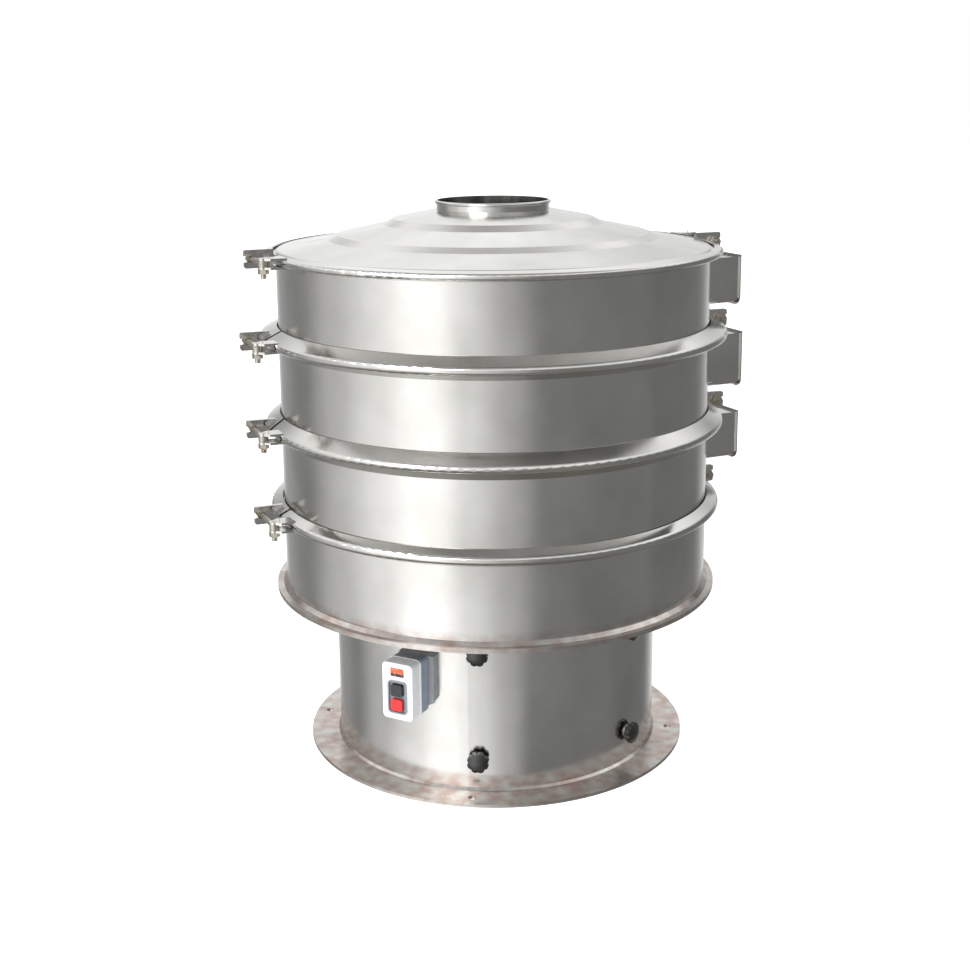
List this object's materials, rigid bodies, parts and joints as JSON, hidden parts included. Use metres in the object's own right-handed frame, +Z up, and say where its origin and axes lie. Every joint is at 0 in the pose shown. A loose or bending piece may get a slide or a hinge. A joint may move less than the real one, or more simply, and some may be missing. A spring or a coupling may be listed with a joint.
{
  "type": "vibrating sieve",
  "caption": "Round vibrating sieve: stacked clamped tiers with side outlets and a domed lid on springs over a round base with a door and a switch box.",
  "frame": {"origin": "on the floor plane, on the vertical axis of the sieve", "axes": "+Z up along the sieve axis, -Y towards the front of the machine, +X towards the outlets' side"},
  "size_m": [0.9504, 0.9228, 1.029],
  "materials": {
    "stainless_sheet": "brushed",
    "stainless_ring": "polished",
    "heat_tinted_plate": "satin",
    "zinc_steel": "satin",
    "spring_steel": "satin",
    "screen_mesh": "woven",
    "seal_rubber": "matte",
    "black_rubber": "matte",
    "grey_paint": "satin",
    "blue_grey_plastic": "matte",
    "white_plastic": "satin",
    "grey_plastic": "matte",
    "orange_label": "matte",
    "black_plastic": "gloss",
    "red_plastic": "gloss",
    "black_knob": "gloss",
    "motor_paint": "gloss",
    "motor_steel": "satin"
  },
  "bodies": {
    "base": {"floor_flange": "heat_tinted_plate", "base_cylinder": "stainless_sheet", "base_deck": "heat_tinted_plate", "lower_spring_cups": "zinc_steel", "door_panel": "stainless_sheet", "door_seal": "seal_rubber", "door_studs": "zinc_steel", "switch_bracket": "grey_paint", "switch_gasket": "black_rubber", "switch_housing": "blue_grey_plastic", "switch_cover": "white_plastic", "switch_bezel": "grey_plastic", "switch_label": "orange_label", "switch_knockout": "grey_plastic"},
    "sieve_body": {"chassis_plate": "heat_tinted_plate", "chassis_shell": "stainless_sheet", "chassis_floor": "stainless_sheet", "chassis_outlet": "stainless_sheet", "upper_spring_cups": "zinc_steel", "springs": "spring_steel", "frame_1": "stainless_sheet", "frame_2": "stainless_sheet", "frame_3": "stainless_sheet", "outlet_1": "stainless_sheet", "outlet_2": "stainless_sheet", "outlet_3": "stainless_sheet", "screen_rings": "stainless_ring", "screen_meshes": "screen_mesh", "frame_seals": "seal_rubber", "lid": "stainless_sheet", "inlet_collar": "stainless_sheet", "clamp_ring_1": "stainless_ring", "clamp_ring_2": "stainless_ring", "clamp_ring_3": "stainless_ring", "clamp_ring_4": "stainless_ring", "pivot_bolts": "zinc_steel", "motor_housing": "motor_paint", "motor_covers": "motor_paint", "motor_stator": "motor_steel", "motor_bearings": "motor_steel", "motor_bolts": "zinc_steel"},
    "rotor": {"rotor_shaft": "motor_steel", "upper_weight": "motor_steel"},
    "lower_weight": {"lower_weight": "motor_steel"},
    "on_button": {"on_button": "black_plastic"},
    "off_button": {"off_button": "red_plastic"},
    "star_knob_1": {"star_knob_1": "black_knob"},
    "star_knob_2": {"star_knob_2": "black_knob"},
    "star_knob_3": {"star_knob_3": "black_knob"},
    "star_knob_4": {"star_knob_4": "black_knob"},
    "swing_bolt_1": {"swing_bolt_1": "zinc_steel"},
    "swing_bolt_2": {"swing_bolt_2": "zinc_steel"},
    "swing_bolt_3": {"swing_bolt_3": "zinc_steel"},
    "swing_bolt_4": {"swing_bolt_4": "zinc_steel"},
    "swing_bolt_5": {"swing_bolt_5": "zinc_steel"},
    "swing_bolt_6": {"swing_bolt_6": "zinc_steel"},
    "swing_bolt_7": {"swing_bolt_7": "zinc_steel"},
    "swing_bolt_8": {"swing_bolt_8": "zinc_steel"}
  },
  "joints": [
    {"name": "sieve_bounce", "type": "slide", "parent": "base", "child": "sieve_body", "axis": [0, 0, 1], "range_m": [-0.008, 0.008], "stiffness_N_per_m": 76746, "springref_m": 0.01917, "deforming": ["springs"]},
    {"name": "rotor_spin", "type": "hinge", "parent": "sieve_body", "child": "rotor", "pos_m": [0, 0, 0.2], "axis": [0, 0, 1], "continuous": true},
    {"name": "lower_weight_setting", "type": "hinge", "parent": "rotor", "child": "lower_weight", "pos_m": [0, 0, 0.069], "axis": [0, 0, 1], "range_deg": [0, 90]},
    {"name": "on_button_press", "type": "slide", "parent": "base", "child": "on_button", "axis": [0.4617, 0.887, 0], "range_m": [0, 0.0035], "stiffness_N_per_m": 600},
    {"name": "off_button_press", "type": "slide", "parent": "base", "child": "off_button", "axis": [0.4617, 0.887, 0], "range_m": [0, 0.0035], "stiffness_N_per_m": 600},
    {"name": "star_knob_1_turn", "type": "hinge", "parent": "base", "child": "star_knob_1", "pos_m": [-0.03456, -0.31813, 0.065], "axis": [-0.108, -0.9942, 0], "continuous": true},
    {"name": "star_knob_2_turn", "type": "hinge", "parent": "base", "child": "star_knob_2", "pos_m": [-0.03456, -0.31813, 0.265], "axis": [-0.108, -0.9942, 0], "continuous": true},
    {"name": "star_knob_3_turn", "type": "hinge", "parent": "base", "child": "star_knob_3", "pos_m": [0.24939, -0.20051, 0.065], "axis": [0.7793, -0.6266, 0], "continuous": true},
    {"name": "star_knob_4_turn", "type": "hinge", "parent": "base", "child": "star_knob_4", "pos_m": [0.24939, -0.20051, 0.265], "axis": [0.7793, -0.6266, 0], "continuous": true},
    {"name": "swing_bolt_1_swing", "type": "hinge", "parent": "sieve_body", "child": "swing_bolt_1", "pos_m": [-0.3964, -0.20545, 0.937], "axis": [0, 0, 1], "range_deg": [0, 110]},
    {"name": "swing_bolt_2_swing", "type": "hinge", "parent": "sieve_body", "child": "swing_bolt_2", "pos_m": [0.3964, 0.20545, 0.937], "axis": [0, 0, 1], "range_deg": [0, 110]},
    {"name": "swing_bolt_3_swing", "type": "hinge", "parent": "sieve_body", "child": "swing_bolt_3", "pos_m": [-0.41367, -0.19526, 0.788], "axis": [0, 0, 1], "range_deg": [0, 110]},
    {"name": "swing_bolt_4_swing", "type": "hinge", "parent": "sieve_body", "child": "swing_bolt_4", "pos_m": [0.41367, 0.19526, 0.788], "axis": [0, 0, 1], "range_deg": [0, 110]},
    {"name": "swing_bolt_5_swing", "type": "hinge", "parent": "sieve_body", "child": "swing_bolt_5", "pos_m": [-0.41017, -0.1898, 0.625], "axis": [0, 0, 1], "range_deg": [0, 110]},
    {"name": "swing_bolt_6_swing", "type": "hinge", "parent": "sieve_body", "child": "swing_bolt_6", "pos_m": [0.41017, 0.1898, 0.625], "axis": [0, 0, 1], "range_deg": [0, 110]},
    {"name": "swing_bolt_7_swing", "type": "hinge", "parent": "sieve_body", "child": "swing_bolt_7", "pos_m": [-0.39367, -0.21273, 0.469], "axis": [0, 0, 1], "range_deg": [0, 110]},
    {"name": "swing_bolt_8_swing", "type": "hinge", "parent": "sieve_body", "child": "swing_bolt_8", "pos_m": [0.39367, 0.21273, 0.469], "axis": [0, 0, 1], "range_deg": [0, 110]}
  ]
}
